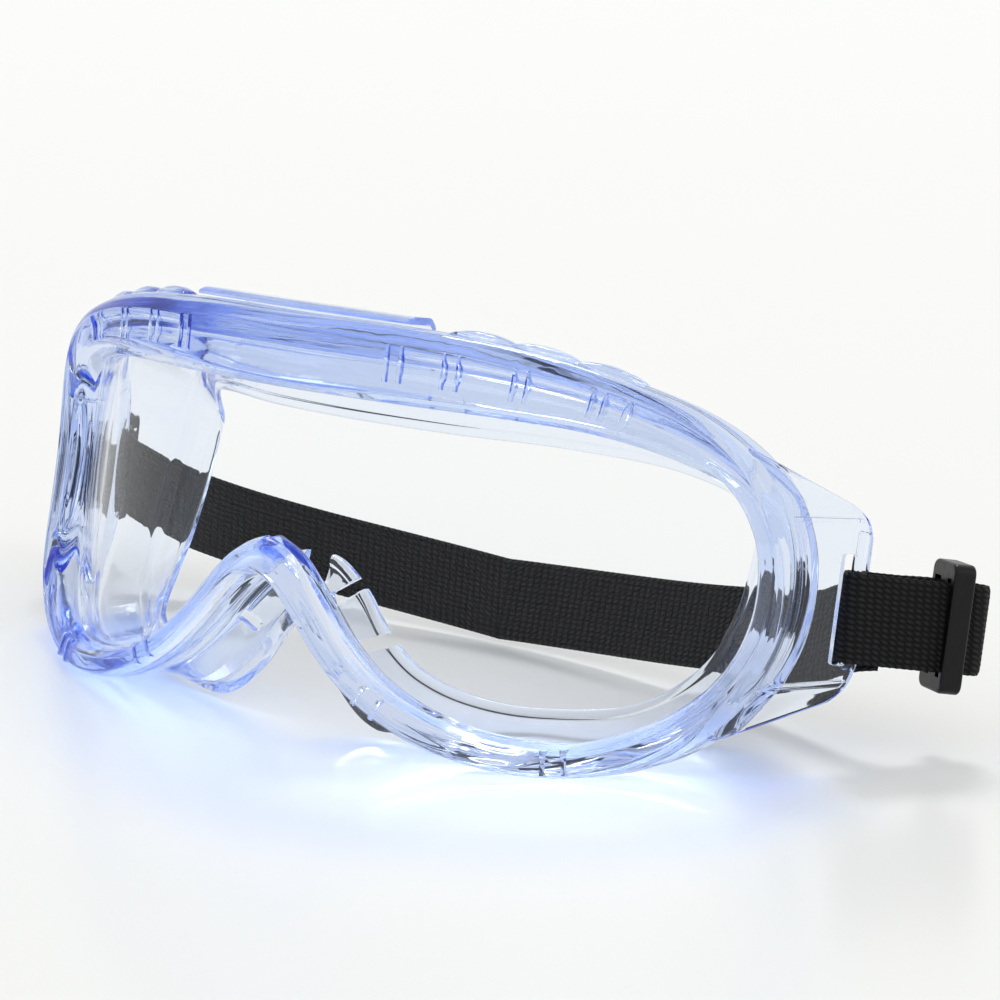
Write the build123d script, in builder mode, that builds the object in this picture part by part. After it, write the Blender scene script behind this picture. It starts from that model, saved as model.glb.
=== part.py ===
from build123d import *

import os
from math import cos, radians, sin, sqrt, tan

# Safety goggles with a wide cylindrical lens, a soft moulded frame that seals to the
# face, clip-in vent covers and an elastic head strap with two sliding buckles.
# They stand on a table on the lower rim and the back of the skirt, leaning back.
# Millimetres. X runs along the lens, Y from the lens towards the face, Z is up.

# ---- driving dimensions ----
LEAN = 12.0              # the frame leans back by this angle when it stands
STAND_HEIGHT = 37.3      # nose arch above the table
BACK_SHIFT = -35.545     # puts the middle of the overall depth at Y = 0
LENS_RADIUS = 101.0      # outer face of the lens, a cylinder about a vertical axis
LENS_RECESS = 4.5        # lens behind the front of the rim
LENS_THICKNESS = 2.0
LENS_LAP = 2.3           # lens edge held inside the rim's groove
GROOVE_GAP = 0.25        # play between the lens and its groove
FACE_RADIUS = 71.0       # curve of the sealing flange round the face
FACE_DEPTH = 22.0        # front of the rim to the brow side of the flange
FACE_SLOPE = tan(radians(11))
FLANGE = 1.1             # thickness of the sealing flange
LUG_WIDTH, LUG_REACH = 7.0, 1.2

WING_ANGLE = 60.0        # side wings, seen from above
WING_ROOT = (84.0, 45.0)
WING_THICKNESS = 2.0
BAR_WIDTH = 2.4          # outer bar of the wing, which carries the strap
BAR_CENTRE = 10.9        # from the wing root to the bar's axis
SLOT_WIDTH, SLOT_HEIGHT = 2.6, 19.4

STRAP_WIDTH, STRAP_THICKNESS = 15.6, 1.1
STRAP_LEVEL = -1.2       # strap centre, against the slot's
LOOP_ANGLE = 50.0        # strap leg from the wing to the buckle, seen from above
LOOP_RADIUS = 1.9        # inside of the folds round the wing bar and the buckle bar
LOOP_LENGTH = 21.0       # wing bar axis to fold axis
BUCKLE_AT = 17.4         # wing bar axis to buckle centre
BUCKLE_THICKNESS, BUCKLE_HEIGHT = 4.0, 22.6
BUCKLE_BAR = 1.6
BUCKLE_CENTRE_BAR = 3.2
BUCKLE_CORNER, BUCKLE_EDGE = 1.8, 0.6
BUCKLE_SLOT_PLAY = 1.6   # the buckle's slots are this much longer than the strap is wide
LAYER_GAP = 0.15         # between the two strap layers in the buckle
SLIDE_GAP = 0.3          # play between the strap and the buckle's bars

HOOD_HALF_ANGLE = 14.0   # brow vent cover, each side of the middle
HOOD_PROFILE = [         # its section at the middle, as (depth, height)
    (2.2, 39.0),
    (2.2, 39.6),
    (3.6, 40.3),
    (12.0, 40.3),
    (14.4, 38.6),
    (14.4, 36.4),
    (13.2, 36.4),
    (13.2, 38.0),
    (11.6, 39.0),
]
LOUVRE_STATIONS = [(29.0, 38.4, -91), (40.0, 37.8, -93), (50.0, 36.5, -97), (59.0, 34.3, -103)]
LOUVRES = (34.5, 46.0, 56.0)
LOUVRE_GAP = 1.4
LOUVRE_FRONT, LOUVRE_DEPTH = 4.6, 4.0
COVER_FRONT, COVER_REAR = 3.6, 8.6     # behind the rim's front
COVER_LIFT, COVER_THICKNESS = 0.35, 1.2
COVER_BEVEL = 0.8

SLITS = ((8.6, -9.2, 35), (15.8, -17.6, 20))   # x, height and slope of the slits beside the nose
BRIDGE_SLIT_HEIGHT = -5.0              # the slit over the bridge of the nose
SLIT_WIDTH, SLIT_LENGTH = 2.4, 9.0
BRIDGE_SLIT_WIDTH = 6.0
SLIT_FRONT, SLIT_DEPTH = 15.5, 12.0    # how far back the slits start, and how deep they are

# A wing's outline, as (distance out from its root, height). The inner points lie in the rim.
WING_OUTLINE = [
    (-15.0, 26.6),
    (9.0, 17.6),
    (12.1, 14.5),
    (12.1, -11.2),
    (9.0, -15.6),
    (-15.0, -24.8),
    (-6.0, -12.0),
    (-3.5, 0.0),
    (-6.0, 15.0),
]
BAND_END, BAND_TURN = 21.5, 5.5        # along the leg, from the wing bar
BAND_BACK = 76.2         # depth of the band behind the middle of the goggles
BAND_BACK_CORNER = 31.5  # half the length of the band's flatter back stretch
BAND_RADII = [6.3, 240.0]
BAND_LEVELS = [(0.0, -13.2), (45.0, -10.4), (72.0, -6.8), (90.0, -1.6), (106.0, -1.2)]

# Half of the rim from the brow to the nose. Each row is a place on the outer edge
# (x, z), the inward direction in degrees, and along it the rim's width, the skirt's
# back corner and the sealing flange's free edge.
STATIONS = [
    (0.0, 38.5, -90, 13.5, 9.5, 18.5),
    (20.0, 38.6, -90, 13.5, 9.8, 18.5),
    (40.0, 37.8, -93, 12.6, 9.3, 17.5),
    (57.0, 35.0, -101, 10.6, 8.8, 16.5),
    (70.5, 30.6, -119, 9.6, 9.5, 18.0),
    (79.3, 23.6, -143, 8.2, 11.0, 19.5),
    (83.6, 13.5, -166, 7.0, 12.0, 20.5),
    (84.8, 2.0, -180, 6.5, 12.0, 21.0),
    (83.6, -10.0, -189, 6.8, 11.5, 20.6),
    (79.0, -21.0, -210, 7.2, 9.5, 19.0),
    (70.0, -29.4, -234, 6.8, 5.2, 16.0),
    (57.5, -34.0, -259, 6.0, 4.0, 12.0),
    (44.0, -34.3, -273, 5.8, 3.6, 9.8),
    (32.0, -31.5, -288, 5.5, 2.2, 7.8),
    (22.0, -26.5, -302, 5.2, -0.5, 6.2),
    (14.5, -20.3, -312, 5.0, -3.0, 5.5),
    (8.6, -13.8, -310, 5.0, -4.0, 5.5),
    (4.0, -9.6, -293, 6.0, -4.5, 5.0),
    (0.0, -8.0, -270, 7.0, -5.0, 4.5),
]
SECTIONS_PER_SPAN = 2
BEYOND = 120.0           # more than any of the pieces is deep or high


def front_face(x):
    """Depth of the rim's front at x."""
    return LENS_RADIUS - sqrt(LENS_RADIUS**2 - x**2)


def lens_outside(x):
    return LENS_RECESS + LENS_RADIUS - sqrt(LENS_RADIUS**2 - x**2)


def lens_inside(x):
    return LENS_RECESS + LENS_RADIUS - sqrt((LENS_RADIUS - LENS_THICKNESS) ** 2 - x**2)


def face_depth(x, z):
    """Depth at which the sealing flange meets the face."""
    side = FACE_RADIUS - sqrt(FACE_RADIUS**2 - min(abs(x), 0.985 * FACE_RADIUS) ** 2)
    return FACE_DEPTH + side + FACE_SLOPE * (z - 6)


def eased(before, start, end, after, t):
    """Value at t between start and end, on a smooth curve through all four."""
    slope_in, slope_out = (end - before) / 2, (after - start) / 2
    rise = end - start
    return start + slope_in * t + (3 * rise - 2 * slope_in - slope_out) * t**2 + (
        slope_in + slope_out - 2 * rise
    ) * t**3


def all_sections():
    """The stations, with smooth in-between ones for the loft."""
    rows = []
    last = len(STATIONS) - 1
    for i in range(last):
        around = [STATIONS[max(i - 1, 0)], STATIONS[i], STATIONS[i + 1], STATIONS[min(i + 2, last)]]
        for step in range(SECTIONS_PER_SPAN):
            t = step / SECTIONS_PER_SPAN
            rows.append(tuple(eased(*values, t) for values in zip(*around)))
    return rows + [STATIONS[-1]]


# The goggles' own axes: x across, y back towards the face, z up along the lens.
stand = Plane(
    origin=(0, BACK_SHIFT, STAND_HEIGHT),
    x_dir=(1, 0, 0),
    z_dir=(0, sin(radians(LEAN)), cos(radians(LEAN))),
)


def placed(plane):
    """A plane of the goggles' own axes, where they stand on the table."""
    return Plane(stand.location * plane.location)


def rim_profile(x, z, angle, width, corner, edge):
    """Section of the rim, skirt and flange, as (distance inward, depth) points."""
    dx, dz = cos(radians(angle)), sin(radians(angle))

    def x_at(s):
        return x + s * dx

    def flange_depth(s):
        return face_depth(x_at(s), z + s * dz)

    crest = front_face(x_at(width)) - 0.5
    shoulder = min(3.0, max(0.6, 0.35 * corner))
    groove = width - LENS_LAP - GROOVE_GAP
    lip = lens_inside(x_at(width)) + GROOVE_GAP + 1.3
    back = max(crest + 11.0, lens_inside(x_at(groove)) + 3.0)
    wall = 1.7 if corner > 0 else 3.2
    free_edge = flange_depth(edge)
    return [
        (0.0, crest + 4.0),
        (0.7, crest + 1.4),
        (0.32 * width if width < 7 else 2.2, crest),
        (max(0.52 * width, width - 3.0), crest + 0.8),
        (width, lens_outside(x_at(width)) - GROOVE_GAP - 0.9),
        (width, lens_outside(x_at(width)) - GROOVE_GAP),
        (groove, lens_outside(x_at(groove)) - GROOVE_GAP),
        (groove, lens_inside(x_at(groove)) + GROOVE_GAP),
        (width, lens_inside(x_at(width)) + GROOVE_GAP),
        (width, lip),
        (shoulder + 2.6, max(back, lip) + 1.2),
        (corner + wall, free_edge - 4.3),
        (edge, free_edge - FLANGE),
        (edge, free_edge),
        (corner, free_edge - 2.6),
        (shoulder, back),
        (0.0, back - 3.0),
    ]


def section_plane(x, z, angle):
    """Upright plane through an outer edge point, running inward at the angle."""
    inward = (cos(radians(angle)), 0, sin(radians(angle)))
    across = (-inward[2], 0, inward[0])
    return placed(Plane(origin=(x, 0, z), x_dir=inward, z_dir=across))


def rim_point(station, inset):
    """Place on the front of the rim, inset from its outer edge."""
    x, z, angle = station[:3]
    return (x + inset * cos(radians(angle)), z + inset * sin(radians(angle)))


# ---- shapes that more than one piece uses ----
lens_edge = [rim_point(row, row[3] - LENS_LAP) for row in all_sections()]
lug_rows = [(24.5, 27.4, -90), (60.0, 25.9, -104), (23.6, -23.9, -302), (57.0, -30.3, -259)]

wing_x, wing_y = cos(radians(WING_ANGLE)), sin(radians(WING_ANGLE))
wing_plane = placed(
    Plane(
        origin=(WING_ROOT[0], WING_ROOT[1], 0),
        x_dir=(wing_x, wing_y, 0),
        z_dir=(wing_y, -wing_x, 0),
    )
)
leg_x, leg_y = cos(radians(LOOP_ANGLE)), sin(radians(LOOP_ANGLE))
bar_x, bar_y = WING_ROOT[0] + BAR_CENTRE * wing_x, WING_ROOT[1] + BAR_CENTRE * wing_y


def lens_shell(gap):
    """The lens cylinder's wall, with a gap added on every side."""
    with BuildPart(mode=Mode.PRIVATE) as shell:
        with BuildSketch(placed(Plane.XY.offset(-BEYOND / 2))):
            with Locations((0, LENS_RECESS + LENS_RADIUS)):
                Circle(LENS_RADIUS + gap)
                Circle(LENS_RADIUS - LENS_THICKNESS - gap, mode=Mode.SUBTRACT)
        extrude(amount=BEYOND)
    return shell.part


def lugs(gap):
    """Lugs on the right half of the lens, in its wall, with a gap all round."""
    with BuildPart(mode=Mode.PRIVATE) as blocks:
        with BuildSketch(placed(Plane.XZ)):
            for x, z, angle in lug_rows:
                with Locations(Location((x, z, 0), angle)):
                    Rectangle(2 * (LUG_REACH + gap), LUG_WIDTH + 2 * gap)
        extrude(amount=-BEYOND)
        add(lens_shell(gap), mode=Mode.INTERSECT)
    return blocks.part


# ---- what is cut out of the frame: pockets for the lens lugs, and slits in the flange ----
with BuildPart() as frame_cuts:
    add(lugs(GROOVE_GAP))
    with BuildSketch(placed(Plane.XZ.offset(-SLIT_FRONT))):
        with Locations(*(Location((x, z, 0), turn) for x, z, turn in SLITS)):
            Rectangle(SLIT_LENGTH, SLIT_WIDTH)
    extrude(amount=-SLIT_DEPTH)
    with BuildSketch(wing_plane.offset(-2 * WING_THICKNESS)):
        with Locations((BAR_CENTRE - BAR_WIDTH / 2 - SLOT_WIDTH / 2, 0)):
            Rectangle(SLOT_WIDTH, SLOT_HEIGHT)
    extrude(amount=4 * WING_THICKNESS)
    mirror(about=Plane.YZ)
    # the slit over the bridge of the nose
    with BuildSketch(placed(Plane.XZ.offset(-SLIT_FRONT))):
        with Locations((0, BRIDGE_SLIT_HEIGHT)):
            Rectangle(BRIDGE_SLIT_WIDTH, SLIT_LENGTH)
    extrude(amount=-SLIT_DEPTH)

# ---- side wings, which carry the strap ----
with BuildPart() as wings:
    with BuildSketch(wing_plane.offset(-WING_THICKNESS / 2)):
        with BuildLine():
            Polyline(*WING_OUTLINE, close=True)
        make_face()
    extrude(amount=WING_THICKNESS)
    mirror(about=Plane.YZ)

# ---- the soft frame: rim, skirt, sealing flange and wings in one moulding ----
with BuildPart() as frame_body:
    for row in all_sections():
        with BuildSketch(section_plane(*row[:3])):
            with BuildLine():
                Polyline(*rim_profile(*row), close=True)
            make_face()
    loft(ruled=True)
    mirror(about=Plane.YZ)
    add(wings.part)
    add(frame_cuts.part, mode=Mode.SUBTRACT)
    # flats where the moulding stands on the table
    split(bisect_by=Plane.XY, keep=Keep.TOP)
frame_body.part.label = "frame_body"

# ---- lens: a curved sheet with lugs that snap into the rim ----
with BuildPart() as lens:
    with BuildSketch(placed(Plane.XZ)):
        with BuildLine():
            Spline(*lens_edge, tangents=((1, 0), (-1, 0)))
            Line(lens_edge[-1], lens_edge[0])
        make_face()
        with Locations(*(Location((x, z, 0), angle) for x, z, angle in lug_rows)):
            Rectangle(2 * LUG_REACH, LUG_WIDTH)
        mirror(about=Plane.YZ)
    extrude(amount=-BEYOND)
    add(lens_shell(0), mode=Mode.INTERSECT)
lens.part.label = "lens"

# ---- brow vent cover: a hood over the slot behind the rim's top ----
hood_axis = Axis(placed(Plane(origin=(0, LENS_RADIUS, 0))).location)
with BuildPart() as brow_vent_cover:
    with BuildSketch(placed(Plane.YZ)):
        with BuildLine():
            Polyline(*HOOD_PROFILE, close=True)
        make_face()
    revolve(axis=hood_axis, revolution_arc=HOOD_HALF_ANGLE)
    mirror(about=Plane.YZ)
brow_vent_cover.part.label = "brow_vent_cover"

# ---- side vent covers: louvred strips along the top of the rim ----
with BuildPart() as vent_cover_right:
    for row in LOUVRE_STATIONS:
        crest = front_face(row[0]) - 0.5
        front, rear = crest + COVER_FRONT, crest + COVER_REAR
        with BuildSketch(section_plane(*row)):
            with BuildLine():
                Polyline(
                    (-COVER_LIFT, front),
                    (-COVER_LIFT - COVER_THICKNESS, front + COVER_BEVEL),
                    (-COVER_LIFT - COVER_THICKNESS, rear - COVER_BEVEL),
                    (-COVER_LIFT, rear),
                    close=True,
                )
            make_face()
    loft()
    # louvres, cut through the strip from the front edge
    with BuildSketch(placed(Plane.XY)):
        for x in LOUVRES:
            with Locations((x, front_face(x) + LOUVRE_FRONT)):
                Rectangle(LOUVRE_GAP, LOUVRE_DEPTH)
    extrude(amount=BEYOND, mode=Mode.SUBTRACT)
vent_cover_right.part.label = "vent_cover_right"

with BuildPart() as vent_cover_left:
    mirror(vent_cover_right.part, about=Plane.YZ)
vent_cover_left.part.label = "vent_cover_left"

# ---- strap loop: two legs of webbing round the wing bar and the buckle's centre bar ----
leg_plane = placed(
    Plane(
        origin=(bar_x, bar_y, STRAP_LEVEL - STRAP_WIDTH / 2),
        x_dir=(leg_x, leg_y, 0),
        z_dir=(0, 0, 1),
    )
)
with BuildPart() as strap_loop_right:
    with BuildSketch(leg_plane):
        with Locations((LOOP_LENGTH / 2, 0)):
            SlotCenterToCenter(LOOP_LENGTH, 2 * (LOOP_RADIUS + STRAP_THICKNESS))
            SlotCenterToCenter(LOOP_LENGTH, 2 * LOOP_RADIUS, mode=Mode.SUBTRACT)
    extrude(amount=STRAP_WIDTH)
strap_loop_right.part.label = "strap_loop_right"

with BuildPart() as strap_loop_left:
    mirror(strap_loop_right.part, about=Plane.YZ)
strap_loop_left.part.label = "strap_loop_left"

# ---- buckle: a three-bar slide, one slot for the loop's outer leg and one for two layers ----
single_slot = LOOP_RADIUS + STRAP_THICKNESS + SLIDE_GAP - BUCKLE_CENTRE_BAR / 2
double_slot = single_slot + STRAP_THICKNESS + LAYER_GAP
buckle_low = -BUCKLE_CENTRE_BAR / 2 - single_slot - BUCKLE_BAR
buckle_high = BUCKLE_CENTRE_BAR / 2 + double_slot + BUCKLE_BAR
slot_height = STRAP_WIDTH + BUCKLE_SLOT_PLAY
buckle_plane = placed(
    Plane(
        origin=(
            bar_x + (BUCKLE_AT - BUCKLE_THICKNESS / 2) * leg_x,
            bar_y + (BUCKLE_AT - BUCKLE_THICKNESS / 2) * leg_y,
            STRAP_LEVEL,
        ),
        x_dir=(-leg_y, leg_x, 0),
        z_dir=(leg_x, leg_y, 0),
    )
)
with BuildPart() as buckle_right:
    with BuildSketch(buckle_plane):
        with Locations(((buckle_low + buckle_high) / 2, 0)):
            RectangleRounded(buckle_high - buckle_low, BUCKLE_HEIGHT, BUCKLE_CORNER)
        with Locations((-(BUCKLE_CENTRE_BAR + single_slot) / 2, 0)):
            Rectangle(single_slot, slot_height, mode=Mode.SUBTRACT)
        with Locations(((BUCKLE_CENTRE_BAR + double_slot) / 2, 0)):
            Rectangle(double_slot, slot_height, mode=Mode.SUBTRACT)
    extrude(amount=BUCKLE_THICKNESS)
    buckle_ends = buckle_right.faces().filter_by(Axis(buckle_plane.location)).sort_by(SortBy.AREA)[-2:]
    fillet([edge for face in buckle_ends for edge in face.outer_wire().edges()], BUCKLE_EDGE)
buckle_right.part.label = "buckle_right"

with BuildPart() as buckle_left:
    mirror(buckle_right.part, about=Plane.YZ)
buckle_left.part.label = "buckle_left"

# ---- free band: from one buckle round the back of the goggles to the other ----
layer_side = LOOP_RADIUS + 1.5 * STRAP_THICKNESS + LAYER_GAP


def beside_leg(along):
    """Middle of the band where it runs beside the loop's inner leg."""
    return (bar_x + along * leg_x - layer_side * leg_y, bar_y + along * leg_y + layer_side * leg_x)


with BuildPart() as strap_band:
    with BuildSketch(placed(Plane.XY.offset(-BEYOND / 2))):
        with BuildLine():
            FilletPolyline(
                beside_leg(BAND_END),
                beside_leg(BAND_TURN),
                (BAND_BACK_CORNER, BAND_BACK),
                (0, BAND_BACK),
                radius=BAND_RADII,
            )
        trace(line_width=STRAP_THICKNESS)
    extrude(amount=BEYOND)
    # upper and lower edges, which sag towards the middle of the back
    with BuildSketch(placed(Plane.XZ)):
        with BuildLine():
            for side in (STRAP_WIDTH / 2, -STRAP_WIDTH / 2):
                Spline(*((x, level + side) for x, level in BAND_LEVELS))
            Line((0, BAND_LEVELS[0][1] - STRAP_WIDTH / 2), (0, BAND_LEVELS[0][1] + STRAP_WIDTH / 2))
            Line(
                (BAND_LEVELS[-1][0], BAND_LEVELS[-1][1] - STRAP_WIDTH / 2),
                (BAND_LEVELS[-1][0], BAND_LEVELS[-1][1] + STRAP_WIDTH / 2),
            )
        make_face()
    extrude(amount=-BEYOND, mode=Mode.INTERSECT)
    mirror(about=Plane.YZ)
strap_band.part.label = "strap_band"

os.makedirs("parts", exist_ok=True)
for piece in (
    frame_body,
    lens,
    brow_vent_cover,
    vent_cover_left,
    vent_cover_right,
    strap_band,
    strap_loop_left,
    strap_loop_right,
    buckle_left,
    buckle_right,
):
    export_step(piece.part, f"parts/{piece.part.label}.step")
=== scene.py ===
from math import atan2, cos, pi, radians, sin, sqrt, tan

import bmesh
import bpy
import numpy as np
from mathutils import Matrix, Vector


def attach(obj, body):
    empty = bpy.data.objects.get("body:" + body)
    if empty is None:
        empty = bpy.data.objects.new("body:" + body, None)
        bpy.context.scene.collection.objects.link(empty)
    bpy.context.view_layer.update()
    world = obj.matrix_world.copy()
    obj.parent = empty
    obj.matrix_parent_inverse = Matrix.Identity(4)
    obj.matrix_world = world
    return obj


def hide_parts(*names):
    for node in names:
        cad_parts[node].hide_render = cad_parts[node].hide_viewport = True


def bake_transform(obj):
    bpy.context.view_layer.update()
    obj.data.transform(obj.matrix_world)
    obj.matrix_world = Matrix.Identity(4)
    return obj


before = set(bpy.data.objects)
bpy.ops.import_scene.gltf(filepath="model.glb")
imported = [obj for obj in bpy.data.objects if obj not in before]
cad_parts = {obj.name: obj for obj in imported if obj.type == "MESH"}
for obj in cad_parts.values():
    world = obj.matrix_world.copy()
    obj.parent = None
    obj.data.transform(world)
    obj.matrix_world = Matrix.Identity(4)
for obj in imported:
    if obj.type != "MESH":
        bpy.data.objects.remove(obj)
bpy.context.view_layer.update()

# ---------------------------------------------------------------- the goggles' own axes
# Millimetres: x across, y back towards the face, z up along the lens, as in the CAD.
LEAN = radians(12.0)
STAND_HEIGHT = 37.3
BACK_SHIFT = -35.545
MM = 0.001


def row_points(points):
    """Goggle-frame millimetres to row-frame metres."""
    p = np.asarray(points, float)
    x, y, z = p[..., 0], p[..., 1], p[..., 2]
    return MM * np.stack(
        [
            x,
            y * cos(LEAN) + z * sin(LEAN) + BACK_SHIFT,
            z * cos(LEAN) - y * sin(LEAN) + STAND_HEIGHT,
        ],
        axis=-1,
    )


# ---------------------------------------------------------------- mesh helpers
def new_piece(name, points, faces, sharp=40.0):
    """A mesh object from goggle-frame points, smooth but for edges over an angle."""
    mesh = bpy.data.meshes.new(name)
    mesh.from_pydata([tuple(p) for p in row_points(points)], [], faces)
    mesh.validate()
    shape = bmesh.new()
    shape.from_mesh(mesh)
    bmesh.ops.recalc_face_normals(shape, faces=shape.faces)
    shape.to_mesh(mesh)
    shape.free()
    mesh.shade_smooth()
    if sharp:
        mesh.set_sharp_from_angle(angle=radians(sharp))
    piece = bpy.data.objects.new(name, mesh)
    bpy.context.scene.collection.objects.link(piece)
    return piece


def grid_faces(rows, columns, ring):
    """Quads between neighbouring closed rows of points; ring joins the last to the first."""
    faces = []
    for i in range(rows if ring else rows - 1):
        j = (i + 1) % rows
        for k in range(columns):
            m = (k + 1) % columns
            faces.append((i * columns + k, i * columns + m, j * columns + m, j * columns + k))
    return faces


def swept(name, sections, ring=False, sharp=40.0):
    """Closed sections joined into a tube, capped unless it is a ring."""
    sections = np.asarray(sections, float)
    rows, columns = sections.shape[:2]
    faces = grid_faces(rows, columns, ring)
    if not ring:
        faces.append(tuple(reversed(range(columns))))
        faces.append(tuple(range((rows - 1) * columns, rows * columns)))
    return new_piece(name, sections.reshape(-1, 3), faces, sharp)


def rounded(corners, steps=4):
    """A closed outline with each (a, b, radius) corner turned into a short curve."""
    corners = np.asarray(corners, float)
    points = []
    for i, (a, b, radius) in enumerate(corners):
        here = np.array([a, b])
        before = corners[i - 1][:2] - here
        after = corners[(i + 1) % len(corners)][:2] - here
        length_in, length_out = np.linalg.norm(before), np.linalg.norm(after)
        start = here + before / length_in * min(radius, 0.46 * length_in)
        end = here + after / length_out * min(radius, 0.46 * length_out)
        for t in np.linspace(0, 1, steps):
            points.append((1 - t) ** 2 * start + 2 * t * (1 - t) * here + t**2 * end)
    return np.array(points)


def combined(base, tools, operation):
    """Base with each tool joined to it or cut from it; the tools are used up."""
    for tool in tools:
        modifier = base.modifiers.new("combine", "BOOLEAN")
        modifier.operation = operation
        modifier.solver = "EXACT"
        modifier.object = tool
    graph = bpy.context.evaluated_depsgraph_get()
    mesh = bpy.data.meshes.new_from_object(base.evaluated_get(graph), depsgraph=graph)
    base.modifiers.clear()
    base.data = mesh
    for tool in tools:
        bpy.data.objects.remove(tool)
    return base


# ---------------------------------------------------------------- rim shape, as in the CAD
LENS_RADIUS, LENS_RECESS, LENS_THICKNESS, LENS_LAP, GROOVE_GAP = 101.0, 4.5, 2.0, 2.3, 0.25
FACE_RADIUS, FACE_DEPTH, FACE_SLOPE, FLANGE = 71.0, 22.0, tan(radians(11)), 1.1
STATIONS = [
    (0.0, 38.5, -90, 13.5, 9.5, 18.5),
    (20.0, 38.6, -90, 13.5, 9.8, 18.5),
    (40.0, 37.8, -93, 12.6, 9.3, 17.5),
    (57.0, 35.0, -101, 10.6, 8.8, 16.5),
    (70.5, 30.6, -119, 9.6, 9.5, 18.0),
    (79.3, 23.6, -143, 8.2, 11.0, 19.5),
    (83.6, 13.5, -166, 7.0, 12.0, 20.5),
    (84.8, 2.0, -180, 6.5, 12.0, 21.0),
    (83.6, -10.0, -189, 6.8, 11.5, 20.6),
    (79.0, -21.0, -210, 7.2, 9.5, 19.0),
    (70.0, -29.4, -234, 6.8, 5.2, 16.0),
    (57.5, -34.0, -259, 6.0, 4.0, 12.0),
    (44.0, -34.3, -273, 5.8, 3.6, 9.8),
    (32.0, -31.5, -288, 5.5, -1.0, 7.8),
    (22.0, -26.5, -302, 5.2, -8.6, 6.2),
    (14.5, -20.3, -312, 5.0, -9.6, 5.5),
    (8.6, -13.8, -310, 5.0, -8.4, 5.5),
    (4.0, -9.6, -293, 6.0, -8.0, 5.0),
    (0.0, -8.0, -270, 7.0, -8.0, 4.5),
]


def front_face(x):
    return LENS_RADIUS - sqrt(LENS_RADIUS**2 - x**2)


def lens_outside(x):
    return LENS_RECESS + front_face(x)


def lens_inside(x):
    return LENS_RECESS + LENS_RADIUS - sqrt((LENS_RADIUS - LENS_THICKNESS) ** 2 - x**2)


def face_depth(x, z):
    side = FACE_RADIUS - sqrt(FACE_RADIUS**2 - min(abs(x), 0.985 * FACE_RADIUS) ** 2)
    return FACE_DEPTH + side + FACE_SLOPE * (z - 6)


def eased_rows(rows, per_span):
    """The rows, with smooth in-between ones."""
    rows = np.asarray(rows, float)
    last = len(rows) - 1
    out = []
    for i in range(last):
        before, start, end, after = rows[max(i - 1, 0)], rows[i], rows[i + 1], rows[min(i + 2, last)]
        into, leaving, rise = (end - before) / 2, (after - start) / 2, end - start
        for t in np.arange(per_span) / per_span:
            out.append(
                start
                + into * t
                + (3 * rise - 2 * into - leaving) * t**2
                + (into + leaving - 2 * rise) * t**3
            )
    return np.array(out + [rows[-1]])


def rim_corners(x, z, angle, width, corner, edge):
    """Section of the rim, skirt and flange: (distance inward, depth, rounding) corners."""
    dx, dz = cos(radians(angle)), sin(radians(angle))

    def x_at(s):
        return x + s * dx

    crest = front_face(x_at(width)) - 0.5
    shoulder = min(3.0, max(0.6, 0.35 * corner))
    groove = width - LENS_LAP - GROOVE_GAP
    lip = lens_inside(x_at(width)) + GROOVE_GAP + 1.3
    back = max(crest + 11.0, lens_inside(x_at(groove)) + 3.0)
    wall = 1.7 if corner > 0 else 3.2
    free_edge = face_depth(x_at(edge), z + edge * dz)
    # the clips' channel runs along the brow; at the middle the face's lower edge dips
    channel = 0.15 + 0.9 * np.clip((x - 24) / 3, 0, 1) * np.clip((68 - x) / 8, 0, 1) * (z > 0)
    dip = 0.12 * max(0.0, 1 - (x / 24) ** 2) * (z > 0)
    return [
        (0.0, crest + 4.4, 0.5),
        (0.25, crest + 1.7, 1.4),
        (0.2 * width, crest, 1.2),
        (0.33 * width, crest + 0.12, 0.6),
        (0.39 * width, crest + channel, 0.5),
        (0.58 * width, crest + channel + 0.1, 0.5),
        ((0.66 + dip) * width, crest + 0.3, 0.7),
        ((0.8 + 0.8 * dip) * width, crest + 0.9, 1.2),
        (width, lens_outside(x_at(width)) - GROOVE_GAP - 0.9, 0.4),
        (width, lens_outside(x_at(width)) - GROOVE_GAP, 0.2),
        (groove, lens_outside(x_at(groove)) - GROOVE_GAP, 0.1),
        (groove, lens_inside(x_at(groove)) + GROOVE_GAP, 0.1),
        (width, lens_inside(x_at(width)) + GROOVE_GAP, 0.2),
        (width, lip, 0.5),
        (shoulder + 2.6, max(back, lip) + 1.2, 2.0),
        # a bead where the skirt turns into the flange, and a rolled free edge
        (corner + wall - 0.6, free_edge - 4.9, 0.8),
        (corner + wall + 0.5, free_edge - 5.2, 0.5),
        (min(corner + wall + 1.6, edge - 2.6), free_edge - 3.6, 0.5),
        (edge - 2.0, free_edge - FLANGE - 0.5, 0.4),
        (edge - 1.5, free_edge - FLANGE - 0.9, 0.4),
        (edge, free_edge - FLANGE - 0.5, 0.6),
        (edge, free_edge, 0.45),
        (corner, free_edge - 2.6, 2.0),
        (shoulder, back, 1.5),
        (0.0, back - 3.0, 1.2),
        (0.0, crest + 6.0, 0.3),
        (0.3, crest + 5.6, 0.3),
        (0.3, crest + 4.8, 0.3),
    ]


def on_section(station, points):
    """(distance inward, depth) points of a section as goggle-frame points."""
    x, z, angle = station[:3]
    points = np.asarray(points)
    inward = np.array([cos(radians(angle)), sin(radians(angle))])
    return np.stack(
        [x + points[:, 0] * inward[0], points[:, 1], z + points[:, 0] * inward[1]], axis=-1
    )


def mirrored(points):
    return np.asarray(points) * np.array([-1, 1, 1])


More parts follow.
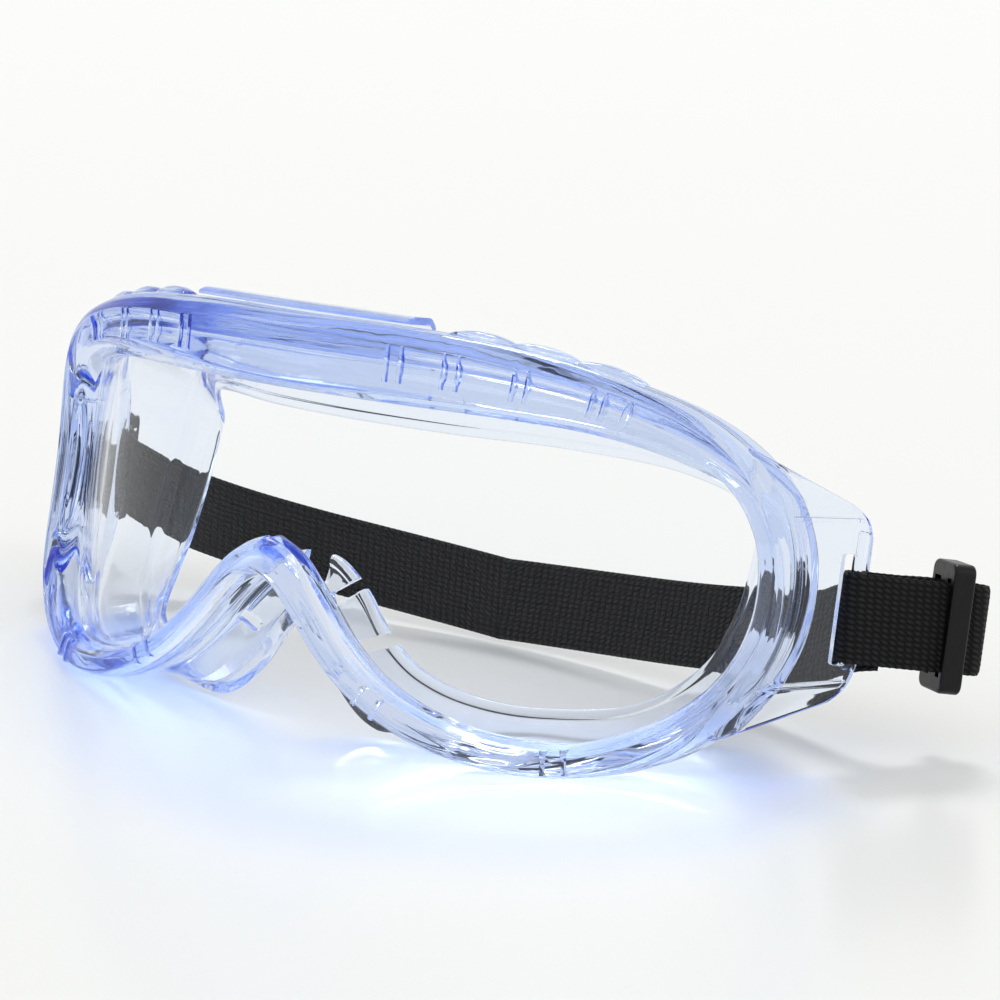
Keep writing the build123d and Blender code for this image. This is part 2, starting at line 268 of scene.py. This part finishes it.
PER_SPAN = 8
BROW_SPANS = 9
rows = eased_rows(STATIONS, PER_SPAN)
half = [on_section(r, rounded(rim_corners(*r))) for r in rows]
other_half = [mirrored(s) for s in reversed(half[1:-1])]
moulding = swept("frame_moulding", half + other_half, ring=True, sharp=55)


def station_at(x, lower=False):
    """The rim's section nearest to x, on the brow side or the lower side."""
    limit = BROW_SPANS * PER_SPAN
    chosen = rows[limit:] if lower else rows[:limit]
    return chosen[np.argmin(np.abs(chosen[:, 0] - x))]


def block(name, station, inset, depth, breadth, side=1, radius=0.35):
    """A rounded bar across the rim: inset and depth are (from, to) in its section."""
    (s0, s1), (y0, y1) = inset, depth
    outline = rounded([(s0, y0, radius), (s1, y0, radius), (s1, y1, radius), (s0, y1, radius)], 3)
    face = on_section(station, outline)
    angle = radians(station[2])
    across = np.array([-sin(angle), 0, cos(angle)])
    middle = face.mean(0)
    sections = []
    for t, shrink in ((-1, 0.86), (-0.8, 1.0), (0.8, 1.0), (1, 0.86)):
        sections.append(middle + (face - middle) * shrink + across * t * breadth / 2)
    sections = np.array(sections)
    if side < 0:
        sections = mirrored(sections)
    return swept(name, sections, sharp=50)


# ribs and clips moulded on the rim
bars = []
for side in (1, -1):
    for x, breadth, lower in (
        (21.4, 0.9, False),
        (25.8, 0.9, False),
        (33.6, 0.6, False),
        (35.2, 0.6, False),
        (45.6, 0.7, False),
        (47.2, 0.7, False),
        (57.4, 0.8, False),
        (59.0, 0.8, False),
        (61.8, 1.4, False),
        (59.2, 0.9, True),
        (55.4, 0.9, True),
        (26.2, 0.8, True),
        (23.4, 0.8, True),
    ):
        s = station_at(x, lower)
        w = s[3]
        crest = front_face(s[0] + w * cos(radians(s[2]))) - 0.5
        reach = (0.24 * w, 0.72 * w) if not lower else (0.1 * w, 0.85 * w)
        bars.append(block("bar", s, reach, (crest - 0.1, crest + 2.6), breadth, side, 0.3))

# side wings with the strap slots
WING_ANGLE, WING_ROOT, WING_THICKNESS = radians(60), (84.0, 45.0), 2.0
BAR_WIDTH, BAR_CENTRE = 2.4, 10.9
SLOT_WIDTH, SLOT_HEIGHT = 2.6, 19.4
WING_OUTLINE = [
    (-15.0, 26.6, 3),
    (9.0, 17.6, 3),
    (12.1, 14.5, 3),
    (12.1, -11.2, 3),
    (9.0, -15.6, 3),
    (-15.0, -24.8, 3),
    (-6.0, -12.0, 2),
    (-3.5, 0.0, 3),
    (-6.0, 15.0, 2),
]


def on_wing(u, v, offset, side):
    """A place on the wing's plate: u outwards, v up, offset to its front."""
    p = np.array(
        [
            WING_ROOT[0] + u * cos(WING_ANGLE) + offset * sin(WING_ANGLE),
            WING_ROOT[1] + u * sin(WING_ANGLE) - offset * cos(WING_ANGLE),
            v,
        ]
    )
    return mirrored(p) if side < 0 else p


def plate(name, outline, thickness, rim, side):
    """The wing's plate, its outline rounded over at both faces."""
    outline = rounded(outline, 6)
    ahead = np.roll(outline, -1, 0) - np.roll(outline, 1, 0)
    outward = np.stack([-ahead[:, 1], ahead[:, 0]], axis=-1) / np.linalg.norm(ahead, axis=1)[:, None]
    sections = []
    for offset, inset in (
        (-thickness / 2, rim),
        (-thickness / 2 + 0.35 * rim, 0.3 * rim),
        (-thickness / 2 + rim, 0),
        (thickness / 2 - rim, 0),
        (thickness / 2 - 0.35 * rim, 0.3 * rim),
        (thickness / 2, rim),
    ):
        shrunk = outline - outward * inset
        sections.append([on_wing(u, v, offset, side) for u, v in shrunk])
    return swept(name, sections, sharp=50)


wings, slots = [], []
for side in (1, -1):
    wings.append(plate("wing", WING_OUTLINE, WING_THICKNESS, 0.3, side))
    # thicker outer bar and the two raised edges that run to it
    u0, u1 = BAR_CENTRE - BAR_WIDTH / 2, BAR_CENTRE + BAR_WIDTH / 2
    wings.append(
        plate("wing_bar", [(u0, 14, 1), (u1, 13.4, 1), (u1, -10.2, 1), (u0, -10.6, 1)], 2.9, 0.6, side)
    )
    for crease in (
        [(-7, 15.0, 0.2), (9.6, 15.9, 0.3), (9.8, 15.2, 0.3), (-7, 14.2, 0.2)],
        [(-7, -14.0, 0.2), (10.4, -12.2, 0.3), (10.0, -13.2, 0.3), (-7, -15.2, 0.2)],
    ):
        wings.append(plate("wing_crease", crease, 2.9, 0.1, side))
    mid = BAR_CENTRE - BAR_WIDTH / 2 - SLOT_WIDTH / 2
    a, b = SLOT_WIDTH / 2, SLOT_HEIGHT / 2
    slot_outline = [(mid - a, b, 0.8), (mid + a, b, 0.8), (mid + a, -b, 0.8), (mid - a, -b, 0.8)]
    slots.append(plate("slot", slot_outline, 12, 0.01, side))

# slits in the flange beside the nose and over its bridge
SLITS = ((8.6, -9.2, 35, 1.2), (15.8, -17.6, 20, 1.2), (0.0, -5.0, 90, 3.0))
SLIT_REACH, SLIT_FRONT, SLIT_REAR = 4.5, 15.5, 27.5
slits = []
for x, z, turn, half_gap in SLITS:
    slit_outline = rounded(
        [
            (-SLIT_REACH, -half_gap, 1),
            (SLIT_REACH, -half_gap, 1),
            (SLIT_REACH, half_gap, 1),
            (-SLIT_REACH, half_gap, 1),
        ],
        4,
    )
    along = np.array([cos(radians(turn)), 0, sin(radians(turn))])
    across = np.array([-along[2], 0, along[0]])
    for side in (1, -1) if x else (1,):
        sections = [
            [np.array([x, y, z]) + along * p + across * q for p, q in slit_outline]
            for y in (SLIT_FRONT, SLIT_REAR)
        ]
        sections = np.array(sections)
        slits.append(swept("slit", mirrored(sections) if side < 0 else sections))

combined(moulding, wings + bars, "UNION")
combined(moulding, slots + slits, "DIFFERENCE")
# it stands flat on the table, a hair above it so that the two faces don't coincide
TABLE_GAP = 0.05 * MM
for vertex in moulding.data.vertices:
    vertex.co.z = max(vertex.co.z, TABLE_GAP)
moulding.data.set_sharp_from_angle(angle=radians(38))

# ---------------------------------------------------------------- lens
CENTRE_Z = 14.0
edge_half = np.array([on_section(r, [(r[3] - LENS_LAP, 0.0)])[0] for r in rows])
outline = np.vstack([edge_half, mirrored(edge_half[1:-1])[::-1]])
RINGS = 26
lens_points = []
for surface in (lens_outside, lens_inside):
    for ring in range(RINGS, 0, -1):
        share = ring / RINGS
        for x, _, z in outline:
            lens_points.append((x * share, surface(x * share), CENTRE_Z + (z - CENTRE_Z) * share))
lens_points += [(0, lens_outside(0), CENTRE_Z), (0, lens_inside(0), CENTRE_Z)]
count = len(outline)
lens_faces = []
for layer in (0, 1):
    base = layer * RINGS * count
    faces = [tuple(base + i for i in f) for f in grid_faces(RINGS, count, False)]
    hub = len(lens_points) - 2 + layer
    last = base + (RINGS - 1) * count
    faces += [(last + k, last + (k + 1) % count, hub) for k in range(count)]
    lens_faces += [tuple(reversed(f)) for f in faces] if layer == 0 else faces
back = RINGS * count
lens_faces += [(k, (k + 1) % count, back + (k + 1) % count, back + k) for k in range(count)]
lens = new_piece("lens_sheet", lens_points, lens_faces, 50)

# ---------------------------------------------------------------- brow hood
HOOD_HALF_ANGLE = 14.0
HOOD_PROFILE = [
    (2.2, 39.0, 0.1),
    (2.2, 39.6, 0.4),
    (3.6, 40.3, 0.8),
    (12.0, 40.3, 1.2),
    (14.4, 38.6, 1.0),
    (14.4, 36.4, 0.3),
    (13.2, 36.4, 0.3),
    (13.2, 38.0, 0.8),
    (11.6, 39.0, 0.6),
]
hood_outline = rounded(HOOD_PROFILE, 5)
hood_sections = []
for turn in np.radians(np.linspace(-HOOD_HALF_ANGLE, HOOD_HALF_ANGLE, 57)):
    reach = LENS_RADIUS - hood_outline[:, 0]
    hood_sections.append(
        np.stack([reach * sin(turn), LENS_RADIUS - reach * cos(turn), hood_outline[:, 1]], axis=-1)
    )
hood = swept("brow_hood", hood_sections, sharp=50)

# ---------------------------------------------------------------- side vent covers
COVER_FROM, COVER_TO, COVER_BUMPS = 30.0, 61.0, 3
brow = rows[: 5 * PER_SPAN]  # the spans where x still grows
covers = []
for side, word in ((1, "right"), (-1, "left")):
    sections = []
    for share in np.linspace(0, 1, 91):
        x, z, angle, width = (
            np.interp(COVER_FROM + share * (COVER_TO - COVER_FROM), brow[:, 0], brow[:, k])
            for k in range(4)
        )
        crest = front_face(x + width * cos(radians(angle))) - 0.5
        # low bumps in a row, sinking into the brow at both ends
        height = 1.2 * abs(sin(pi * COVER_BUMPS * share)) ** 0.6
        if share in (0, 1):
            height = -0.25
        profile = [
            (0.5, crest + 3.4, 0.2),
            (-height, crest + 4.6, 0.9),
            (-height, crest + 7.6, 0.9),
            (0.5, crest + 8.8, 0.2),
        ]
        sections.append(on_section((x, z, angle), rounded(profile, 5)))
    sections = np.array(sections)
    cover = swept(f"vent_strip_{word}", mirrored(sections) if side < 0 else sections, sharp=50)
    covers.append((cover, f"vent_cover_{word}"))

# ---------------------------------------------------------------- straps
STRAP_WIDTH, STRAP_THICKNESS, STRAP_LEVEL = 15.6, 1.1, -1.2
LOOP_ANGLE, LOOP_RADIUS, LOOP_LENGTH = radians(50), 1.9, 21.0
LAYER_GAP = 0.15
WEAVE_ROW, RIB_HEIGHT = 0.98, 0.035
SCALLOP_LENGTH, SCALLOP_SHARE = 1.3, 0.006
STITCH_LENGTH = 1.5
CM_PER_MM = 0.1
PATH_STEP = 0.45
leg = np.array([cos(LOOP_ANGLE), sin(LOOP_ANGLE)])
aside = np.array([-leg[1], leg[0]])
bar = np.array(
    [WING_ROOT[0] + BAR_CENTRE * cos(WING_ANGLE), WING_ROOT[1] + BAR_CENTRE * sin(WING_ANGLE)]
)


def filleted(corners, radii, step=0.5):
    """A path through corners with round bends, as evenly spaced points."""
    corners = [np.array(c, float) for c in corners]
    path = [corners[0]]
    for before, here, after, radius in zip(corners, corners[1:], corners[2:], radii):
        a = (before - here) / np.linalg.norm(before - here)
        b = (after - here) / np.linalg.norm(after - here)
        bend = np.arccos(np.clip(a @ b, -1, 1))
        reach = radius / tan(bend / 2)
        centre = here + (a + b) / np.linalg.norm(a + b) * radius / sin(bend / 2)
        start, end = here + a * reach - centre, here + b * reach - centre
        first = atan2(start[1], start[0])
        turn = (atan2(end[1], end[0]) - first + pi) % (2 * pi) - pi
        for t in np.linspace(0, 1, 60):
            path.append(centre + radius * np.array([cos(first + t * turn), sin(first + t * turn)]))
    path.append(corners[-1])
    return evenly(np.array(path), step)


def evenly(path, step, closed=False):
    if closed:
        path = np.vstack([path, path[:1]])
    steps = np.linalg.norm(np.diff(path, axis=0), axis=1)
    path = path[np.r_[True, steps > 1e-6]]
    along = np.r_[0, np.cumsum(np.linalg.norm(np.diff(path, axis=0), axis=1))]
    places = np.linspace(0, along[-1], int(round(along[-1] / step)) + 1)
    if closed:
        places = places[:-1]
    return np.stack([np.interp(places, along, path[:, i]) for i in (0, 1)], axis=-1)


def webbing(name, path, levels, closed=False, side=1):
    """Flat webbing on edge along a plan path, with ribbed faces; its UVs are centimetres."""
    path = np.asarray(path)
    ahead = np.roll(path, -1, 0) - np.roll(path, 1, 0)
    if not closed:
        ahead[0], ahead[-1] = path[1] - path[0], path[-1] - path[-2]
    ahead /= np.linalg.norm(ahead, axis=1)[:, None]
    normal = np.stack([-ahead[:, 1], ahead[:, 0]], axis=-1)
    distance = np.r_[0, np.cumsum(np.linalg.norm(np.diff(path, axis=0), axis=1))]
    across = np.linspace(-1, 1, 41)
    half_width, half_depth = STRAP_WIDTH / 2, STRAP_THICKNESS / 2
    # rounded selvedges; the faces carry the lengthwise ribs
    crown = np.sqrt(np.clip(1 - np.abs(across) ** 14, 0, 1))
    ribs = RIB_HEIGHT * np.cos(across * half_width * 2 * pi / WEAVE_ROW)
    v = across * half_width
    depth = half_depth * np.maximum(crown, 0.35) + ribs - RIB_HEIGHT
    outline = [(d, h) for d, h in zip(depth, v)] + [(-d, h) for d, h in zip(depth[::-1], v[::-1])]
    outline = np.array(outline)
    sections, uvs = [], []
    for p, n, level, d in zip(path, normal, levels, distance):
        # small scallops along both selvedges, one for each weft turn
        scallop = 1 + SCALLOP_SHARE * cos(2 * pi * d / SCALLOP_LENGTH)
        plan = p + outline[:, :1] * n
        sections.append(np.column_stack([plan, level + outline[:, 1] * scallop]))
        uvs.append(np.column_stack([np.full(len(outline), d), outline[:, 1]]))
    sections = np.array(sections)
    if side < 0:
        sections = mirrored(sections)
    piece = swept(name, sections, ring=closed, sharp=60)
    flat_uv = np.vstack(uvs)
    layer = piece.data.uv_layers.new(name="weave")
    corner_points = np.empty(len(piece.data.loops), int)
    piece.data.loops.foreach_get("vertex_index", corner_points)
    layer.data.foreach_set("uv", flat_uv[corner_points].ravel() * CM_PER_MM)
    return piece


side_offset = LOOP_RADIUS + 1.5 * STRAP_THICKNESS + LAYER_GAP
beside = [bar + along * leg + side_offset * aside for along in (21.5, 5.5)]
BAND_BACK = 76.2
band_path = filleted([*beside, (31.5, BAND_BACK), (0.0, BAND_BACK)], [6.3, 240.0], PATH_STEP)
LEVELS = np.array([(0.0, -13.2), (45.0, -10.4), (72.0, -6.8), (90.0, -1.6), (106.0, -1.2)])
smooth_levels = eased_rows(LEVELS, 12)


def band_level(x):
    return np.interp(x, smooth_levels[:, 0], smooth_levels[:, 1])


loop_path = []
for t in np.linspace(0, pi, 40):
    loop_path.append(bar + (LOOP_RADIUS + STRAP_THICKNESS / 2) * (-sin(t) * leg + cos(t) * aside))
for t in np.linspace(0, pi, 40):
    loop_path.append(
        bar + LOOP_LENGTH * leg + (LOOP_RADIUS + STRAP_THICKNESS / 2) * (sin(t) * leg - cos(t) * aside)
    )
loop_path = evenly(np.array(loop_path), PATH_STEP, closed=True)

# the left loop, seen from the front, stands a little slack beside the wing, clear of the buckle
SLACK_START, SLACK_LENGTH, SLACK_BULGE = 0.3, 9.0, 3.6
slack_path = loop_path.copy()
along_leg = (slack_path - bar) @ leg
outer = (slack_path - bar) @ aside < -LOOP_RADIUS
in_slack = outer & (along_leg > SLACK_START) & (along_leg < SLACK_START + SLACK_LENGTH)
swell = np.sin(pi * (along_leg[in_slack] - SLACK_START) / SLACK_LENGTH) ** 2
slack_path[in_slack] -= (SLACK_BULGE * swell)[:, None] * aside

# the strap's spare end lies behind the band, a little lower
tail_offset = side_offset + STRAP_THICKNESS + LAYER_GAP
tail_beside = [bar + along * leg + tail_offset * aside for along in (21.5, 5.5)]
TAIL_END_X, TAIL_BUCKLE_CLEARANCE = 49.0, 8.0
tail_corners = [*tail_beside, (31.5, BAND_BACK + STRAP_THICKNESS + LAYER_GAP), (0.0, 77.45)]
tail_path = filleted(tail_corners, [7.5, 241.25], PATH_STEP)
tail_path = tail_path[
    (tail_path[:, 0] > TAIL_END_X) & ((tail_path - bar) @ leg < TAIL_BUCKLE_CLEARANCE)
]

straps = []
for side, word in ((1, "right"), (-1, "left")):
    half_band = webbing(f"band_{word}", band_path, band_level(band_path[:, 0]), side=side)
    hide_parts("strap_band")
    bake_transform(half_band)
    plan = loop_path if side > 0 else slack_path
    loop = webbing(f"loop_{word}", plan, np.full(len(plan), STRAP_LEVEL), True, side)
    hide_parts(f"strap_loop_{word}")
    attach(loop, f"{word}_loop")
    straps += [half_band, loop]
    if side > 0:
        tail = webbing("band_tail", tail_path, band_level(tail_path[:, 0]) - 1.3, side=side)
        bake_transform(tail)
        straps.append(tail)

# ---------------------------------------------------------------- materials
def new_material(name):
    material = bpy.data.materials.new(name)
    material.use_nodes = True
    nodes = material.node_tree.nodes
    return material, nodes, material.node_tree.links, nodes["Principled BSDF"]


def let_lamps_through(material, tint):
    """Lamps shine through the plastic, tinted, as they do through thin clear vinyl."""
    nodes, links = material.node_tree.nodes, material.node_tree.links
    mix = nodes.new("ShaderNodeMixShader")
    path = nodes.new("ShaderNodeLightPath")
    clear = nodes.new("ShaderNodeBsdfTransparent")
    clear.inputs["Color"].default_value = (*tint, 1)
    links.new(path.outputs["Is Shadow Ray"], mix.inputs[0])
    links.new(nodes["Principled BSDF"].outputs[0], mix.inputs[1])
    links.new(clear.outputs[0], mix.inputs[2])
    links.new(mix.outputs[0], nodes["Material Output"].inputs["Surface"])


def uneven(nodes, links, shader, low, high, scale, bump_scale, bump, distance=0.0002):
    """Roughness that varies in soft patches, and faint unevenness from the mould."""
    place = nodes.new("ShaderNodeTexCoord")
    patches = nodes.new("ShaderNodeTexNoise")
    patches.inputs["Scale"].default_value = scale
    patches.inputs["Detail"].default_value = 3
    links.new(place.outputs["Object"], patches.inputs["Vector"])
    spread = nodes.new("ShaderNodeMapRange")
    spread.inputs["From Min"].default_value, spread.inputs["From Max"].default_value = 0.35, 0.65
    spread.inputs["To Min"].default_value, spread.inputs["To Max"].default_value = low, high
    links.new(patches.outputs[0], spread.inputs["Value"])
    links.new(spread.outputs[0], shader.inputs["Roughness"])
    waves = nodes.new("ShaderNodeTexNoise")
    waves.inputs["Scale"].default_value = bump_scale
    waves.inputs["Detail"].default_value = 2
    links.new(place.outputs["Object"], waves.inputs["Vector"])
    relief = nodes.new("ShaderNodeBump")
    relief.inputs["Strength"].default_value = bump
    relief.inputs["Distance"].default_value = distance
    links.new(waves.outputs[0], relief.inputs["Height"])
    links.new(relief.outputs[0], shader.inputs["Normal"])


def vinyl(name, density):
    material, nodes, links, shader = new_material(name)
    shader.inputs["Base Color"].default_value = (0.91, 0.945, 1.0, 1)
    shader.inputs["Transmission Weight"].default_value = 1.0
    shader.inputs["IOR"].default_value = 1.42
    uneven(nodes, links, shader, 0.015, 0.07, 90, 160, 0.35)
    depth = nodes.new("ShaderNodeVolumeAbsorption")
    depth.inputs["Color"].default_value = (0.05, 0.33, 0.99, 1)
    depth.inputs["Density"].default_value = density
    links.new(depth.outputs[0], nodes["Material Output"].inputs["Volume"])
    let_lamps_through(material, (0.74, 0.835, 1.0))
    return material


frame_vinyl = vinyl("frame_vinyl", 22.0)
cover_vinyl = vinyl("cover_vinyl", 28.0)

lens_clear, nodes, links, shader = new_material("lens_clear")
shader.inputs["Base Color"].default_value = (0.985, 0.99, 1.0, 1)
shader.inputs["Transmission Weight"].default_value = 1.0
shader.inputs["IOR"].default_value = 1.16
uneven(nodes, links, shader, 0.0, 0.02, 40, 25, 0.04)
let_lamps_through(lens_clear, (0.96, 0.97, 1.0))


def math_node(nodes, links, operation, a, b=None):
    node = nodes.new("ShaderNodeMath")
    node.operation = operation
    for socket, value in zip(node.inputs, (a, b)):
        if value is None:
            continue
        if isinstance(value, (int, float)):
            socket.default_value = value
        else:
            links.new(value, socket)
    return node.outputs[0]


strap_elastic, nodes, links, shader = new_material("strap_elastic")
uv = nodes.new("ShaderNodeUVMap")
uv.uv_map = "weave"
split = nodes.new("ShaderNodeSeparateXYZ")
links.new(uv.outputs[0], split.inputs[0])


def weave_step(operation, a, b=None):
    return math_node(nodes, links, operation, a, b)


# stitches in rows, each row shifted by half a stitch and leaning
run = weave_step("MULTIPLY", split.outputs[0], 1 / (CM_PER_MM * STITCH_LENGTH))
height = weave_step("MULTIPLY", split.outputs[1], 1 / (CM_PER_MM * WEAVE_ROW))
row_number = weave_step("FLOOR", height)
shifted = weave_step("ADD", run, weave_step("MULTIPLY", row_number, 0.5))
leaning = weave_step("ADD", shifted, weave_step("MULTIPLY", height, 0.55))
stitch = weave_step("SINE", weave_step("MULTIPLY", weave_step("FRACT", leaning), pi))
ridge = weave_step("SINE", weave_step("MULTIPLY", weave_step("FRACT", height), pi))
weave = weave_step("POWER", weave_step("MULTIPLY", stitch, ridge), 1.3)
fuzz = nodes.new("ShaderNodeTexNoise")
fuzz.inputs["Scale"].default_value = 2600
place = nodes.new("ShaderNodeTexCoord")
links.new(place.outputs["Object"], fuzz.inputs["Vector"])
yarn = weave_step("ADD", weave, weave_step("MULTIPLY", fuzz.outputs[0], 0.3))
# the strap's colour follows the stitch relief: partly the webbing's own pattern, partly painted shade
# in the gaps between stitches and painted highlight on the stitch tops
shade = nodes.new("ShaderNodeMix")
shade.data_type = "RGBA"
shade.inputs[6].default_value = (0.0003, 0.0003, 0.0004, 1)
shade.inputs[7].default_value = (0.025, 0.025, 0.027, 1)
links.new(yarn, shade.inputs[0])
links.new(shade.outputs[2], shader.inputs["Base Color"])
shader.inputs["Roughness"].default_value = 0.6
shader.inputs["Specular IOR Level"].default_value = 0.14
shader.inputs["Sheen Weight"].default_value = 0.01
relief = nodes.new("ShaderNodeBump")
relief.inputs["Strength"].default_value = 0.9
relief.inputs["Distance"].default_value = 0.0006
links.new(yarn, relief.inputs["Height"])
links.new(relief.outputs[0], shader.inputs["Normal"])

buckle_plastic, nodes, links, shader = new_material("buckle_plastic")
grain = nodes.new("ShaderNodeTexNoise")
grain.inputs["Scale"].default_value = 900
place = nodes.new("ShaderNodeTexCoord")
links.new(place.outputs["Object"], grain.inputs["Vector"])
shade = nodes.new("ShaderNodeMix")
shade.data_type = "RGBA"
shade.inputs[6].default_value = (0.0008, 0.0008, 0.0009, 1)
shade.inputs[7].default_value = (0.0035, 0.0035, 0.0038, 1)
links.new(grain.outputs[0], shade.inputs[0])
links.new(shade.outputs[2], shader.inputs["Base Color"])
shader.inputs["Specular IOR Level"].default_value = 0.25
spread = nodes.new("ShaderNodeMapRange")
spread.inputs["To Min"].default_value, spread.inputs["To Max"].default_value = 0.22, 0.45
links.new(grain.outputs[0], spread.inputs["Value"])
links.new(spread.outputs[0], shader.inputs["Roughness"])
relief = nodes.new("ShaderNodeBump")
relief.inputs["Strength"].default_value = 0.25
relief.inputs["Distance"].default_value = 0.0001
links.new(grain.outputs[0], relief.inputs["Height"])
links.new(relief.outputs[0], shader.inputs["Normal"])


def finish_with(piece, material):
    piece.data.materials.clear()
    piece.data.materials.append(material)


for piece, node, material, slot in (
    (moulding, "frame_body", frame_vinyl, "frame_vinyl"),
    (lens, "lens", lens_clear, "lens_clear"),
    (hood, "brow_vent_cover", cover_vinyl, "frame_vinyl"),
    *((cover, node, cover_vinyl, "frame_vinyl") for cover, node in covers),
):
    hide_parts(node)
    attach(piece, "goggles")
    finish_with(piece, material)
for piece in straps:
    finish_with(piece, strap_elastic)
for word in ("right", "left"):
    finish_with(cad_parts[f"buckle_{word}"], buckle_plastic)

# ---------------------------------------------------------------- floor, light, camera
FLOOR_REACH = 30.0
floor_mesh = bpy.data.meshes.new("floor")
floor_corners = [(a * FLOOR_REACH, b * FLOOR_REACH, 0) for a, b in ((-1, -1), (1, -1), (1, 1), (-1, 1))]
floor_mesh.from_pydata(floor_corners, [], [(0, 1, 2, 3)])
floor = bpy.data.objects.new("floor", floor_mesh)
bpy.context.scene.collection.objects.link(floor)
pale, nodes, links, shader = new_material("pale_floor")
shader.inputs["Base Color"].default_value = (0.8, 0.805, 0.8, 1)
shader.inputs["Roughness"].default_value = 0.22
shader.inputs["Specular IOR Level"].default_value = 0.35
floor_mesh.materials.append(pale)

world = bpy.data.worlds.new("studio")
world.use_nodes = True
world.node_tree.nodes["Background"].inputs["Color"].default_value = (0.975, 0.98, 0.96, 1)
world.node_tree.nodes["Background"].inputs["Strength"].default_value = 0.88
bpy.context.scene.world = world


def softbox(name, place, aim, width, height, power):
    lamp = bpy.data.lights.new(name, "AREA")
    lamp.shape = "RECTANGLE"
    lamp.size, lamp.size_y, lamp.energy = width, height, power
    box = bpy.data.objects.new(name, lamp)
    box.location = place
    box.rotation_mode = "QUATERNION"
    box.rotation_quaternion = (Vector(aim) - Vector(place)).to_track_quat("-Z", "Y")
    bpy.context.scene.collection.objects.link(box)


softbox("back_light", (-1.1, 1.9, 3.0), (0, 0, 0.03), 0.9, 0.6, 46.0)
softbox("left_light", (-2.6, -1.5, 1.8), (0, 0, 0.04), 1.2, 2.4, 9.0)
softbox("right_light", (2.8, 0.3, 1.5), (0, 0, 0.04), 1.0, 2.2, 7.0)

camera_data = bpy.data.cameras.new("camera")
camera_data.sensor_width = 36.0
camera_data.lens = 124.5
camera_data.clip_start, camera_data.clip_end = 0.01, 200
camera = bpy.data.objects.new("camera", camera_data)
camera.location = (0.3855, -0.4733, 0.1899)
right = Vector((0.7967, 0.6043, 0.0)).normalized()
ahead = Vector((-0.5858, 0.7723, -0.2455)).normalized()
up = right.cross(ahead).normalized()
right = ahead.cross(up)
camera.rotation_mode = "QUATERNION"
camera.rotation_quaternion = Matrix((right, up, -ahead)).transposed().to_quaternion()
bpy.context.scene.collection.objects.link(camera)
bpy.context.scene.camera = camera
bpy.context.scene.view_settings.view_transform = "Standard"
bpy.context.scene.cycles.max_bounces = 28
bpy.context.scene.cycles.transmission_bounces = 28
bpy.context.scene.cycles.glossy_bounces = 28
bpy.context.scene.cycles.transparent_max_bounces = 32
